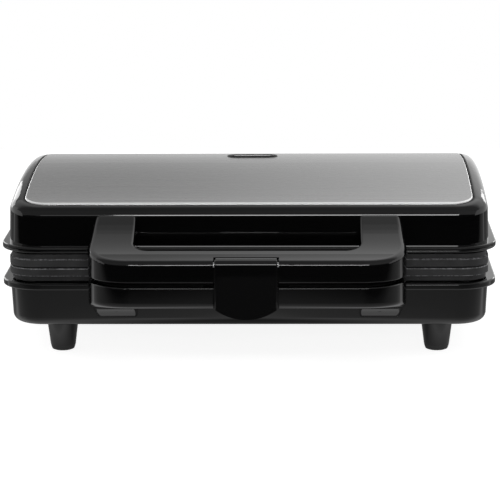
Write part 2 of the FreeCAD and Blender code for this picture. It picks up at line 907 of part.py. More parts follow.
def softened(block):
    """Grip half with its outer, window and meeting edges rounded."""
    side = grip_window_width / 2 + overlap
    window = front_wall - grip_window_depth - overlap
    low = parting + grip_split
    middle = low + grip_knee_rise / 2

    def outside(p):
        return p.y < front_wall + beyond / 2 - near

    def inner(p):
        return abs(p.x) < side and p.y > window

    def meeting(p):
        return outside(p) and abs(p.z - low) < near

    block = block.makeFillet(grip_meeting_edge, creases(block, meeting))
    top = creases(block, lambda p: outside(p) and p.z > middle and not inner(p))
    block = block.makeFillet(grip_edge, top)
    top = creases(block, lambda p: outside(p) and p.z > middle and inner(p))
    return block.makeFillet(grip_inner_edge, top)


def grip_half(front_rise, root_rise, notch_depth):
    """Grip half above the parting plane: hollow, notched and cut clear of the plates."""
    root = front_wall + beyond / 2
    block = softened(grip_block(front_rise, root_rise, 0, root, grip_split, 0))
    hollow_root = front_wall - grip_pocket_start
    pocket = grip_block(front_rise, root_rise, grip_pocket_wall, hollow_root, 0, grip_cover_wall)
    rebate = Part.Face(grip_plan(grip_cover_wall, hollow_root))
    rebate = rebate.extrude(UP * (grip_split + grip_cover_thick))
    spared = notch(notch_depth, latch_pin_hold)
    plates = lined_up(-grip_plate_gap, parting, lid_low)
    cuts = [pocket.cut(spared), rebate.cut(spared), notch(notch_depth, 0), plates]
    return block.cut(cuts)


def grip_cover(notch_depth):
    """Plate that closes the hollow of a grip half."""
    inset = grip_cover_wall + grip_cover_gap
    plate = Part.Face(grip_plan(inset, front_wall - grip_pocket_start - grip_cover_gap))
    plate = plate.extrude(UP * grip_cover_thick).translate(UP * grip_split)
    return plate.cut(notch(notch_depth, latch_pin_hold + grip_cover_gap))


def grip_screw_holes(sign):
    """Pilot holes in the roots of the arms."""
    z = parting + sign * grip_screw_rise
    radius = grip_screw_radius + screw_gap
    end = front_wall - grip_screw_reach - grip_screw_end_gap
    return [along_y(radius, 2 * beyond, side * grip_screw_x, end, z) for side in (-1, 1)]


def grip_screws(sign, depth, draft, base):
    """Screws through a housing's front wall into the arms."""
    lean = math.tan(math.radians(draft))
    z = parting + sign * grip_screw_rise
    inside = -depth / 2 + abs(z - base) * lean + housing_wall + screw_head_radius * lean
    length = inside - front_wall + grip_screw_reach
    screws = []
    for side in (-1, 1):
        x = side * grip_screw_x
        head = along_y(screw_head_radius, screw_head_height, x, inside, z)
        screws.append(joined([head, along_y(grip_screw_radius, length, x, inside - length, z)]))
    return Part.Compound(screws)


def upper_handle():
    """Upper half of the grip, seated against the lid's front wall."""
    half = grip_half(upper_grip_rise, upper_root_rise, upper_notch_depth())
    lid = [lid_form(0, 0, lid_low), flange(lid_low, lid_low + lid_flange_thick)]
    return half.cut(lid + grip_screw_holes(1) + [latch_pin()])


def lower_handle():
    """Lower half of the grip, seated against the base's front wall."""
    half = turned_over(grip_half(lower_grip_rise, lower_root_rise, lower_notch_depth))
    base = [base_form(0, base_low, base_high), flange(base_high - base_flange_thick, base_high)]
    return half.cut(base + grip_screw_holes(-1))


# Latch
def latch_front():
    """Front outline of the latch with its round tongue, as a prism along Y."""
    half = latch_width / 2
    top = latch_pin_z + latch_barrel_radius + overlap
    low = parting - latch_tongue_drop
    side = low + latch_tongue_sagitta
    y = grip_front - beyond
    corners = [Vector(x, y, z) for x, z in ((half, side), (half, top), (-half, top), (-half, side))]
    edges = [Part.LineSegment(corners[i], corners[i + 1]).toShape() for i in range(3)]
    edges.append(Part.Arc(corners[3], Vector(0, y, low), corners[0]).toShape())
    return Part.Face(Part.Wire(edges)).extrude(BACK * (2 * beyond))


def latch():
    """Clip that hangs from the upper bar and hooks under the lower one."""
    back = latch_face + latch_thick
    tongue_back = latch_tongue + latch_thick
    top = latch_pin_z + latch_barrel_radius
    barrel_low = latch_pin_z - latch_barrel_radius
    hook_tip = grip_front + lower_notch_depth + hook_reach
    hook_top = parting - bar_rise(lower_grip_rise, hook_tip) - hook_gap
    hook_low = hook_top - hook_thick
    low = parting - latch_tongue_drop
    profile = [
        (latch_pin_y, top, 0),
        (latch_face, top, latch_edge),
        (latch_face, parting - latch_band_top, latch_band_round),
        (latch_tongue, parting - latch_band_bottom, latch_band_round),
        (latch_tongue, low, 0),
        (tongue_back, low, 0),
        (tongue_back, hook_low, 0),
        (hook_tip, hook_low, 0),
        (hook_tip, hook_top, 0),
        (back, hook_top, 0),
        (back, barrel_low, 0),
        (latch_pin_y, barrel_low, 0),
    ]
    barrel = along_x(latch_barrel_radius, latch_width, latch_pin_y, latch_pin_z)
    body = joined([across(profile, latch_width / 2), barrel]).common(latch_front())
    front = creases(body, lambda p: p.y < back - near and abs(p.x) > latch_width / 2 - near)
    body = body.makeFillet(latch_side_edge, front)
    start = latch_face + latch_edge
    end = start + latch_groove
    floor = top - latch_groove
    rise = top + overlap
    groove = across([(start, rise, 0), (start, floor, 0), (end, floor, 0), (end, rise, 0)], latch_width)
    bore = along_x(latch_pin_radius + latch_pin_gap, 2 * latch_width, latch_pin_y, latch_pin_z)
    return body.cut([groove, bore])


def latch_pin():
    """Steel pin that the latch swings on."""
    return along_x(latch_pin_radius, latch_pin_length, latch_pin_y, latch_pin_z)


def hinge_pin(side):
    """Steel pin through two ears of the base and the lid's knuckle between them."""
    return along_x(hinge_pin_radius, hinge_pin_length, hinge_y, parting, side * hinge_x)


# All nodes by name
def all_nodes():
    """Every sub-part of the donut maker."""
    plate = mould_plate()
    element = heating_element()
    shield = heat_shield()
    screws = plate_screws()
    nodes = {
        "base_shell": base_shell(),
        "lower_plate": turned_over(plate),
        "lower_heating_element": turned_over(element),
        "lower_heat_shield": turned_over(shield),
        "lower_plate_screws": turned_over(screws),
        "lower_handle": lower_handle(),
        "lower_handle_cover": turned_over(grip_cover(lower_notch_depth)),
        "lower_handle_screws": grip_screws(-1, base_depth, base_draft, base_high),
        "terminal_block": terminal_block(),
        "cord_gland": cord_gland(),
        "lid_shell": lid_shell(),
        "top_panel": top_panel(),
        "indicator_lens": indicator_lens(),
        "lamp_holder": lamp_holder(),
        "power_lamp": lamp(-1),
        "ready_lamp": lamp(1),
        "upper_plate": plate,
        "upper_heating_element": element,
        "upper_heat_shield": shield,
        "upper_plate_screws": screws,
        "thermostat": thermostat(),
        "thermal_fuse": thermal_fuse(),
        "upper_handle": upper_handle(),
        "upper_handle_cover": grip_cover(upper_notch_depth()),
        "upper_handle_screws": grip_screws(1, lid_depth, lid_draft, lid_low),
        "latch": latch(),
        "latch_pin": latch_pin(),
        "left_hinge_pin": hinge_pin(-1),
        "right_hinge_pin": hinge_pin(1),
    }
    for name, (x, y) in leg_places.items():
        nodes[name + "_foot"] = rubber_foot(x, y)
    return nodes


def main():
    os.makedirs("parts", exist_ok=True)
    for name, shape in all_nodes().items():
        placed = shape.translated(BACK * body_shift)
        placed.exportStep(os.path.join("parts", name + ".step"))
        print(name, len(placed.Solids), "solids, valid", placed.isValid(), round(placed.Volume, 1), "mm3")


main()
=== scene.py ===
import itertools
import json
import logging
import math
from dataclasses import dataclass
from enum import Enum

import bmesh
import bpy
from mathutils import Euler, Matrix, Vector

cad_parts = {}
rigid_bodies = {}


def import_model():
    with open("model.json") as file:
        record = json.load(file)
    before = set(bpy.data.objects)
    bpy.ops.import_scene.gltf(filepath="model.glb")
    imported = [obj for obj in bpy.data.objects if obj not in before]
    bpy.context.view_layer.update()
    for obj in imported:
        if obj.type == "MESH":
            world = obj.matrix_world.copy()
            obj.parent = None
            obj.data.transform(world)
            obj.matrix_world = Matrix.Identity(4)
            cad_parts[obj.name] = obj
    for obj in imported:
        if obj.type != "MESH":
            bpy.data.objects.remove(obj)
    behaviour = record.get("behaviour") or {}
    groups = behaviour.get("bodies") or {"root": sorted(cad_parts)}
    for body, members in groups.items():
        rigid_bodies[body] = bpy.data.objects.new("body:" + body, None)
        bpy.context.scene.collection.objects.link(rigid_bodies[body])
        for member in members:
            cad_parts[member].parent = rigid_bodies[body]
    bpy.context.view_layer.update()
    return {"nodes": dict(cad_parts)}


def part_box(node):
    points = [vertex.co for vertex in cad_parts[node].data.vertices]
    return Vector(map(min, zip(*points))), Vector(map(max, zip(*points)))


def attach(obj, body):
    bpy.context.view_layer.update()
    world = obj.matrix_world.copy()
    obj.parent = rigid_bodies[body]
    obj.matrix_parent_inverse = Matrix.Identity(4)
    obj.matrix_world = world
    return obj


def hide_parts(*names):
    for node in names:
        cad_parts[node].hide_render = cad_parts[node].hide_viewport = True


for stray in list(bpy.data.objects):
    bpy.data.objects.remove(stray)

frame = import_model()
LOG = logging.getLogger("donut_maker")
Pair = tuple[float, float]
Triple = tuple[float, float, float]
Colour = Triple
Socket = bpy.types.NodeSocket
WHITE = (1.0, 1.0, 1.0, 1.0)
NOISE_SPAN = (0.3, 0.7)  # most of a soft noise lies in it
HEIGHT_TO_SPARE = 1.0  # more than the part has, so that only the plan counts
MERGE_DISTANCE = 1e-7
SCREW_HEAD_RADIUS = 0.0035


class Body(Enum):
    """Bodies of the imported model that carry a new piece."""

    BASE = "base"
    LID = "lid"


class Fade(Enum):
    """Ways from one end of a range to the other."""

    SMOOTH = "SMOOTHSTEP"
    LINEAR = "LINEAR"


class Sum(Enum):
    """Sums that a material can work out."""

    ABSOLUTE = "ABSOLUTE"
    ADD = "ADD"
    MAXIMUM = "MAXIMUM"
    MULTIPLY = "MULTIPLY"
    SUBTRACT = "SUBTRACT"


class Slot(Enum):
    """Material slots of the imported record."""

    GLOSS_BLACK = "gloss_black"
    SATIN_BLACK = "satin_black"
    BRUSHED_STEEL = "brushed_steel_sheet"
    CAST_PLATE = "coated_cast_plate"
    ELEMENT = "element_sheath"
    SHIELD = "shield_sheet"
    SCREW = "screw_steel"
    PIN = "pin_steel"
    RUBBER = "black_rubber"
    LENS = "smoked_lens"
    RED_LAMP = "red_lamp"
    GREEN_LAMP = "green_lamp"
    WHITE_INSULATOR = "white_insulator"
    BROWN_INSULATOR = "brown_insulator"
    FUSE = "fuse_metal"


def coordinate(tree: bpy.types.NodeTree, axis: str) -> Socket:
    """Object coordinate along one axis.

    Args:
        tree: node tree of the material.
        axis: letter of the axis.

    Returns:
        The coordinate.
    """
    place = tree.nodes.new("ShaderNodeTexCoord")
    split = tree.nodes.new("ShaderNodeSeparateXYZ")
    tree.links.new(place.outputs["Object"], split.inputs["Vector"])
    return split.outputs[axis]


def mapped(tree: bpy.types.NodeTree, value: Socket, limits: tuple[float, ...], fade: Fade) -> Socket:
    """Maps part of a value's range to another range, held at its ends.

    Args:
        tree: node tree of the material.
        value: value to map.
        limits: start and end of the first range, then of the other.
        fade: way from one end to the other.

    Returns:
        The mapped value.
    """
    node = tree.nodes.new("ShaderNodeMapRange")
    node.interpolation_type = fade.value
    for name, limit in zip(("From Min", "From Max", "To Min", "To Max"), limits):
        node.inputs[name].default_value = limit
    tree.links.new(value, node.inputs["Value"])
    return node.outputs["Result"]


def worked_out(tree: bpy.types.NodeTree, kind: Sum, first: Socket, second: Socket | float = 0.0) -> Socket:
    """Works out one sum.

    Args:
        tree: node tree of the material.
        kind: the sum.
        first: first value.
        second: second value, or a constant.

    Returns:
        The result.
    """
    node = tree.nodes.new("ShaderNodeMath")
    node.operation = kind.value
    tree.links.new(first, node.inputs[0])
    if isinstance(second, float):
        node.inputs[1].default_value = second
    else:
        tree.links.new(second, node.inputs[1])
    return node.outputs["Value"]


class Pattern:
    """Node tree of one finish, with short calls for the nodes that it needs."""

    def __init__(self, name: str) -> None:
        """Starts a material with one shader.

        Args:
            name: name of the material.
        """
        self.material = bpy.data.materials.new(name)
        self.material.use_nodes = True
        self.tree = self.material.node_tree
        self.shader = self.tree.nodes["Principled BSDF"]
        self.place = self.tree.nodes.new("ShaderNodeTexCoord").outputs["Object"]

    def link(self, source: Socket, target: Socket) -> None:
        """Joins two sockets."""
        self.tree.links.new(source, target)

    def set(self, name: str, value: float) -> None:
        """Sets one of the shader's own sockets to a number."""
        self.shader.inputs[name].default_value = value

    def drive(self, name: str, source: Socket) -> None:
        """Feeds a pattern to one of the shader's sockets."""
        self.link(source, self.shader.inputs[name])

    def stretched(self, stretch: Triple) -> Socket:
        """Object coordinates scaled along each axis.

        Args:
            stretch: scale along X, Y and Z.

        Returns:
            The scaled coordinates.
        """
        mapping = self.tree.nodes.new("ShaderNodeMapping")
        mapping.inputs["Scale"].default_value = stretch
        self.link(self.place, mapping.inputs["Vector"])
        return mapping.outputs["Vector"]

    def noise(self, waves: Triple, detail: float = 2.0, rough: float = 0.5) -> Socket:
        """Soft noise with so many waves to the metre along each axis.

        Args:
            waves: waves to the metre along X, Y and Z.
            detail: number of finer octaves.
            rough: weight of the finer octaves.

        Returns:
            Value from 0 to 1.
        """
        node = self.tree.nodes.new("ShaderNodeTexNoise")
        node.inputs["Scale"].default_value = 1.0
        node.inputs["Detail"].default_value = detail
        node.inputs["Roughness"].default_value = rough
        self.link(self.stretched(waves), node.inputs["Vector"])
        return node.outputs["Fac"]

    def cells(self, scale: float) -> tuple[Socket, Socket]:
        """Cells of about one over scale metres.

        Args:
            scale: cells to the metre.

        Returns:
            Distance to the middle of the cell, and the cell's own random colour.
        """
        node = self.tree.nodes.new("ShaderNodeTexVoronoi")
        node.inputs["Scale"].default_value = scale
        self.link(self.place, node.inputs["Vector"])
        return node.outputs["Distance"], node.outputs["Color"]

    def graded(self, value: Socket, start: float, end: float, low: float, high: float,
               fade: Fade = Fade.SMOOTH) -> Socket:
        """Maps the range from start to end to the one from low to high, held at its ends."""
        return mapped(self.tree, value, (start, end, low, high), fade)

    def spread(self, noise: Socket, low: float, high: float) -> Socket:
        """Maps the span that most of a soft noise lies in to a range."""
        return self.graded(noise, *NOISE_SPAN, low, high)

    def sums(self, first: Socket, second: Socket, kind: Sum = Sum.ADD) -> Socket:
        """Joins two values by a sum."""
        return worked_out(self.tree, kind, first, second)

    def tint(self, value: Socket, dark: Colour, pale: Colour) -> Socket:
        """Colour between two by a value.

        Args:
            value: 0 for dark, 1 for pale.
            dark: first colour.
            pale: second colour.

        Returns:
            The mixed colour.
        """
        node = self.tree.nodes.new("ShaderNodeMix")
        node.data_type = "RGBA"
        self.link(value, node.inputs["Factor"])
        colours = [socket for socket in node.inputs if socket.type == "RGBA"]
        colours[0].default_value = (*dark, 1.0)
        colours[1].default_value = (*pale, 1.0)
        return next(socket for socket in node.outputs if socket.type == "RGBA")

    def blend(self, weight: Socket, plain: Socket, colour: Colour) -> Socket:
        """Colour of a pattern with another colour over it.

        Args:
            weight: 0 for the pattern, 1 for the other colour.
            plain: colour of the pattern.
            colour: the other colour.

        Returns:
            The mixed colour.
        """
        mixed = self.tint(weight, colour, colour)
        self.link(plain, next(socket for socket in mixed.node.inputs if socket.type == "RGBA"))
        return mixed

    def height(self) -> Socket:
        """Height above the floor."""
        return coordinate(self.tree, "Z")

    def past_outline(self, low: Vector, high: Vector, corner: float) -> Socket:
        """Distance in plan past a rounded rectangle, negative inside it.

        Args:
            low: lower corner of its box.
            high: upper corner of its box.
            corner: radius of its corners.

        Returns:
            The distance in metres.
        """
        reach = (high - low) / 2 - Vector((corner, corner, -HEIGHT_TO_SPARE))
        value = self.place
        for kind, other in (("SUBTRACT", (low + high) / 2), ("ABSOLUTE", None), ("SUBTRACT", reach),
                            ("MAXIMUM", Vector()), ("LENGTH", None)):
            node = self.tree.nodes.new("ShaderNodeVectorMath")
            node.operation = kind
            self.link(value, node.inputs[0])
            if other is not None:
                node.inputs[1].default_value = other
            value = node.outputs["Value" if kind == "LENGTH" else "Vector"]
        return self.graded(value, 0.0, 1.0, -corner, 1.0 - corner, Fade.LINEAR)

    def band(self, value: Socket, middle: float, reach: float) -> Socket:
        """Weight that is 1 where a value is at the middle of a band and 0 at its ends.

        Args:
            value: value to weigh.
            middle: middle of the band.
            reach: distance from there to its ends.

        Returns:
            The weight.
        """
        rise = self.graded(value, middle - reach, middle, 0.0, 1.0)
        fall = self.graded(value, middle, middle + reach, 1.0, 0.0)
        return self.sums(rise, fall, Sum.MULTIPLY)

    def bands(self, value: Socket, middles: tuple[float, ...], reach: float) -> Socket:
        """Weight of several bands of the same width.

        Args:
            value: value to weigh.
            middles: middle of each band.
            reach: distance from there to its ends.

        Returns:
            The weight.
        """
        weights = [self.band(value, middle, reach) for middle in middles]
        whole = weights[0]
        for weight in weights[1:]:
            whole = self.sums(whole, weight, Sum.MAXIMUM)
        return whole

    def relief(self, value: Socket, depth: float) -> None:
        """Bumps the surface, on top of any relief it has.

        Args:
            value: height from 0 to 1.
            depth: height in metres of a value of 1.
        """
        node = self.tree.nodes.new("ShaderNodeBump")
        node.inputs["Strength"].default_value = 1.0
        node.inputs["Distance"].default_value = depth
        self.link(value, node.inputs["Height"])
        normal = self.shader.inputs["Normal"]
        if normal.is_linked:
            self.link(normal.links[0].from_socket, node.inputs["Normal"])
        self.link(node.outputs["Normal"], normal)


def scaled(triple: Triple, share: float) -> Triple:
    """A colour or a stretch, times a share."""
    return tuple(number * share for number in triple)


@dataclass(frozen=True)
class MouldedPlastic:
    """Injection-moulded plastic or rubber with grain, haze and flow marks."""

    name: str
    slot: Slot
    colour: Colour
    roughness: float
    grain_size: float
    grain_depth: float
    haze: float = 0.04
    contrast: float = 0.25
    flow_waves: Triple = (9.0, 9.0, 14.0)
    wipe_waves: Triple = (24.0, 60.0, 60.0)
    wipe_span: Pair = (0.3, 0.75)

    def material(self) -> bpy.types.Material:
        """Builds the finish.

        Returns:
            The new material.
        """
        pattern = Pattern(self.name)
        tone = pattern.spread(pattern.noise(self.flow_waves, detail=3.0), 0.0, 1.0)
        dark = scaled(self.colour, 1.0 - self.contrast)
        pattern.drive("Base Color", pattern.tint(tone, dark, scaled(self.colour, 1.0 + self.contrast)))
        wiped = pattern.noise(self.wipe_waves, detail=4.0, rough=0.6)
        haze = pattern.graded(wiped, *self.wipe_span, self.roughness, self.roughness + self.haze)
        pattern.drive("Roughness", self.roughened(pattern, haze))
        per_metre = 1.0 / self.grain_size
        pattern.relief(pattern.noise((per_metre,) * 3), self.grain_depth)
        return pattern.material

    def roughened(self, pattern: Pattern, haze: Socket) -> Socket:
        """Roughness where the moulding is textured, which is nowhere here."""
        return haze


@dataclass(frozen=True)
class LidPlastic(MouldedPlastic):
    """Plastic of the lid, matt in the joint round the sheet and along the middle of its lip."""

    joint_width: float = 0.0012
    joint_fade: float = 0.0002
    joint_corner: float = 0.0105
    roof_span: Pair = (0.073, 0.074)
    lip_middle: float = 0.0584
    lip_reach: float = 0.0007
    lip_core: float = 0.5
    bead_height: float = 0.0571
    bead_reach: float = 0.0004
    bead_depth: float = 0.00012
    matt: float = 0.6

    def roughened(self, pattern: Pattern, haze: Socket) -> Socket:
        """Adds the matt joint and lip, and a bead along the lip's lower edge.

        Args:
            pattern: pattern of the finish.
            haze: roughness of the plain plastic.

        Returns:
            The roughness.
        """
        low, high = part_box("top_panel")
        past = pattern.past_outline(low, high, self.joint_corner)
        joint = pattern.graded(past, self.joint_width, self.joint_width + self.joint_fade, self.matt, 0.0)
        height = pattern.height()
        roof = pattern.graded(height, *self.roof_span, 0.0, 1.0)
        middle = pattern.band(height, self.lip_middle, self.lip_reach)
        lip = pattern.graded(middle, 0.0, self.lip_core, 0.0, self.matt)
        bead = pattern.graded(height, self.bead_height - self.bead_reach,
                              self.bead_height + self.bead_reach, 1.0, 0.0)
        pattern.relief(bead, self.bead_depth)
        matt = pattern.sums(pattern.sums(joint, roof, Sum.MULTIPLY), lip, Sum.MAXIMUM)
        return pattern.sums(haze, matt, Sum.MAXIMUM)


@dataclass(frozen=True)
class BrushedSheet:
    """Stainless sheet brushed along its length; its rim is rougher, unbrushed and pale, the pale colour being
    a painted highlight of the rolled edge.
    """

    name: str
    slot: Slot
    colour: Colour
    roughness: float
    line_width: float
    line_length: float
    line_depth: float
    # pale colour of the rim: a painted highlight of the rolled edge, not the steel's own colour
    rim: Colour
    rim_width: float
    # how much further in the painted rim highlight reaches along the front edge
    front_extra: float
    rim_haze: float
    corner: float
    dark_share: float = 0.95
    fine_share: float = 0.6
    broad_waves: Triple = (0.4, 2.0, 2.0)
    grain: float = 0.06
    rim_blend: float = 1.5

    def material(self) -> bpy.types.Material:
        """Builds the finish.

        Returns:
            The new material.
        """
        pattern = Pattern(self.name)
        pattern.set("Metallic", 1.0)
        across = 1.0 / self.line_width
        along = 1.0 / self.line_length
        fine = pattern.noise((along, across, across), detail=3.0, rough=0.6)
        broad = pattern.noise(scaled(self.broad_waves, along))
        tone = pattern.sums(pattern.spread(fine, 0.0, self.fine_share),
                            pattern.spread(broad, 0.0, 1.0 - self.fine_share))
        plain = pattern.tint(tone, scaled(self.colour, self.dark_share), self.colour)
        low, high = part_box("top_panel")
        past = pattern.past_outline(low + Vector((0.0, self.front_extra, 0.0)), high, self.corner)
        # painted highlight: the rim is blended to the pale rim colour
        rim = pattern.graded(past, -self.rim_width, -self.rim_width / 2, 0.0, 1.0)
        pattern.drive("Base Color", pattern.blend(rim, plain, self.rim))
        grain = pattern.spread(fine, self.roughness, self.roughness + self.grain)
        haze = pattern.graded(past, -self.rim_width, -self.rim_width / 2, 0.0, self.rim_haze)
        pattern.drive("Roughness", pattern.sums(grain, haze))
        brushed = pattern.graded(past, -self.rim_width * self.rim_blend, -self.rim_width, 1.0, 0.0)
        pattern.relief(pattern.sums(fine, brushed, Sum.MULTIPLY), self.line_depth)
        return pattern.material


@dataclass(frozen=True)
class CoatedCasting:
    """Cast aluminium under a dark non-stick coat, grey in patches along its edges: partly worn coat, partly a
    painted highlight of the edges.
    """

    name: str
    slot: Slot
    colour: Colour
    speck: Colour
    # grey along the edges: partly worn coat, partly a painted highlight of the edges
    worn: Colour
    roughness: float
    cast_depth: float
    edges: tuple[float, ...]
    edge_reach: float
    speck_cells: float = 1400.0
    speck_span: Pair = (0.1, 0.28)
    scatter_waves: float = 260.0
    scatter_span: Pair = (0.52, 0.66)
    mottle_waves: Triple = (55.0, 55.0, 90.0)
    mottle_share: float = 0.35
    mottle_haze: float = 0.12
    sand_waves: float = 900.0
    edge_patch_waves: Triple = (700.0, 300.0, 500.0)
    edge_patch_span: Pair = (0.4, 0.62)
    edge_patch_least: float = 0.1

    def material(self) -> bpy.types.Material:
        """Builds the finish.

        Returns:
            The new material.
        """
        pattern = Pattern(self.name)
        distance, _ = pattern.cells(self.speck_cells)
        scatter = pattern.noise((self.scatter_waves,) * 3)
        specks = pattern.sums(pattern.graded(distance, *self.speck_span, 1.0, 0.0),
                              pattern.graded(scatter, *self.scatter_span, 0.0, 1.0), Sum.MULTIPLY)
        mottled = pattern.noise(self.mottle_waves, detail=4.0, rough=0.6)
        base = pattern.spread(mottled, 0.0, self.mottle_share)
        coat = pattern.tint(pattern.sums(base, specks, Sum.MAXIMUM), self.colour, self.speck)
        # painted highlight and worn coat: grey bands at the edges' heights over the coat
        pattern.drive("Base Color", pattern.blend(self.edge_wear_and_highlight(pattern), coat, self.worn))
        pattern.drive("Roughness", pattern.spread(mottled, self.roughness, self.roughness + self.mottle_haze))
        sand = pattern.noise((self.sand_waves,) * 3, detail=3.0, rough=0.6)
        pattern.relief(sand, self.cast_depth)
        return pattern.material

    def edge_wear_and_highlight(self, pattern: Pattern) -> Socket:
        """Weight of the grey along the edges at their heights, worn coat and painted highlight in one.

        Args:
            pattern: pattern of the finish.

        Returns:
            The weight.
        """
        along = pattern.bands(pattern.height(), self.edges, self.edge_reach)
        edge_patches = pattern.noise(self.edge_patch_waves, detail=4.0, rough=0.75)
        patchy = pattern.graded(edge_patches, *self.edge_patch_span, self.edge_patch_least, 1.0)
        return pattern.sums(along, patchy, Sum.MULTIPLY)


@dataclass(frozen=True)
class BareMetal:
    """Plated, drawn or turned metal with fine tool lines and a little tarnish."""

    name: str
    slot: Slot
    colour: Colour
    tarnish: Colour
    roughness: float
    lines: Triple
    line_depth: float
    cloud_waves: float = 70.0
    cloud_span: Pair = (0.35, 0.75)
    line_haze: float = 0.15

    def material(self) -> bpy.types.Material:
        """Builds the finish.

        Returns:
            The new material.
        """
        pattern = Pattern(self.name)
        pattern.set("Metallic", 1.0)
        cloud = pattern.noise((self.cloud_waves,) * 3, detail=4.0, rough=0.6)
        clouded = pattern.graded(cloud, *self.cloud_span, 0.0, 1.0)
        pattern.drive("Base Color", pattern.tint(clouded, self.colour, self.tarnish))
        tool = pattern.noise(self.lines)
        pattern.drive("Roughness", pattern.spread(tool, self.roughness, self.roughness + self.line_haze))
        pattern.relief(tool, self.line_depth)
        return pattern.material


@dataclass(frozen=True)
class SpangledSheet:
    """Hot-dipped sheet with crystals of slightly different greys."""

    name: str
    slot: Slot
    colour: Colour
    roughness: float
    crystals: float
    dark_share: float = 0.7
    haze: float = 0.18
    ripple_waves: float = 400.0
    ripple_depth: float = 0.00003

    def material(self) -> bpy.types.Material:
        """Builds the finish.

        Returns:
            The new material.
        """
        pattern = Pattern(self.name)
        pattern.set("Metallic", 1.0)
        _, colour = pattern.cells(self.crystals)
        split = pattern.tree.nodes.new("ShaderNodeSeparateColor")
        pattern.link(colour, split.inputs["Color"])
        tone = split.outputs["Red"]
        pattern.drive("Base Color", pattern.tint(tone, scaled(self.colour, self.dark_share), self.colour))
        pattern.drive("Roughness", pattern.graded(tone, 0.0, 1.0, self.roughness, self.roughness + self.haze))
        pattern.relief(pattern.noise((self.ripple_waves,) * 3), self.ripple_depth)
        return pattern.material


@dataclass(frozen=True)
class ClearPlastic:
    """Tinted clear plastic with faint moulding streaks."""

    name: str
    slot: Slot
    colour: Colour
    roughness: float
    clear: float
    index: float = 1.49
    dark_share: float = 0.8
    haze: float = 0.1
    streak_waves: Triple = (160.0, 420.0, 420.0)
    streak_depth: float = 0.00002

    def material(self) -> bpy.types.Material:
        """Builds the finish.

        Returns:
            The new material.
        """
        pattern = Pattern(self.name)
        pattern.set("IOR", self.index)
        pattern.set("Transmission Weight", self.clear)
        streak = pattern.noise(self.streak_waves, detail=3.0)
        tone = pattern.spread(streak, 0.0, 1.0)
        pattern.drive("Base Color", pattern.tint(tone, scaled(self.colour, self.dark_share), self.colour))
        pattern.drive("Roughness", pattern.spread(streak, self.roughness, self.roughness + self.haze))
        pattern.relief(streak, self.streak_depth)
        return pattern.material


GLOSS = (0.0013, 0.0013, 0.0014)
FINISHES = (
    MouldedPlastic("gloss black plastic", Slot.GLOSS_BLACK, GLOSS,
                   roughness=0.03, grain_size=0.004, grain_depth=0.000003, haze=0.015),
    MouldedPlastic("satin black plastic", Slot.SATIN_BLACK, (0.012, 0.012, 0.0125),
                   roughness=0.42, grain_size=0.0006, grain_depth=0.00002),
    # its pale rim colour paints the highlight of the rolled edge
    BrushedSheet("brushed steel", Slot.BRUSHED_STEEL, (0.43, 0.43, 0.43),
                 roughness=0.24, line_width=0.00016, line_length=0.12, line_depth=0.000004,
                 rim=(0.95, 0.95, 0.95), rim_width=0.0004, front_extra=0.0014, rim_haze=0.16, corner=0.0105),
    # its grey along the edges is partly worn coat, partly a painted highlight of the edges
    CoatedCasting("coated casting", Slot.CAST_PLATE, (0.009, 0.009, 0.0094),
                  speck=(0.05, 0.05, 0.052), worn=(0.25, 0.25, 0.26), roughness=0.46, cast_depth=0.00004,
                  edges=(0.0433, 0.0471, 0.0519), edge_reach=0.0004),
    BareMetal("element sheath", Slot.ELEMENT, (0.32, 0.29, 0.26), tarnish=(0.16, 0.12, 0.11),
              roughness=0.4, lines=(500.0, 500.0, 500.0), line_depth=0.00002),
    SpangledSheet("coated sheet", Slot.SHIELD, (0.62, 0.63, 0.65), roughness=0.32, crystals=260.0),
    BareMetal("plated screw", Slot.SCREW, (0.6, 0.6, 0.58), tarnish=(0.42, 0.41, 0.38),
              roughness=0.26, lines=(900.0, 900.0, 2500.0), line_depth=0.00001),
    BareMetal("ground pin", Slot.PIN, (0.58, 0.58, 0.59), tarnish=(0.42, 0.42, 0.42),
              roughness=0.22, lines=(3000.0, 400.0, 400.0), line_depth=0.000006),
    MouldedPlastic("black rubber", Slot.RUBBER, (0.014, 0.014, 0.014),
                   roughness=0.58, grain_size=0.0008, grain_depth=0.00005),
    ClearPlastic("lamp lens", Slot.LENS, (0.62, 0.62, 0.62), roughness=0.12, clear=0.85),
    ClearPlastic("red lamp", Slot.RED_LAMP, (0.5, 0.03, 0.02), roughness=0.15, clear=0.35),
    ClearPlastic("green lamp", Slot.GREEN_LAMP, (0.04, 0.32, 0.06), roughness=0.15, clear=0.35),
    MouldedPlastic("white insulator", Slot.WHITE_INSULATOR, (0.7, 0.69, 0.65),
                   roughness=0.45, grain_size=0.0009, grain_depth=0.00002, contrast=0.05),
    MouldedPlastic("brown insulator", Slot.BROWN_INSULATOR, (0.07, 0.035, 0.018),
                   roughness=0.3, grain_size=0.0014, grain_depth=0.00002),
    BareMetal("fuse case", Slot.FUSE, (0.66, 0.66, 0.63), tarnish=(0.5, 0.48, 0.42),
              roughness=0.28, lines=(2000.0, 300.0, 300.0), line_depth=0.00001),
)
LID_FINISH = LidPlastic("lid plastic", Slot.GLOSS_BLACK, GLOSS,
                        roughness=0.03, grain_size=0.004, grain_depth=0.000003, haze=0.015)


def piece_of(name: str, mesh: bmesh.types.BMesh) -> bpy.types.Object:
    """Turns a finished bmesh into an object at the origin.

    Args:
        name: name of the object.
        mesh: its shape, which is freed.

    Returns:
        The new object.
    """
    data = bpy.data.meshes.new(name)
    mesh.to_mesh(data)
    mesh.free()
    piece = bpy.data.objects.new(name, data)
    bpy.context.scene.collection.objects.link(piece)
    return piece


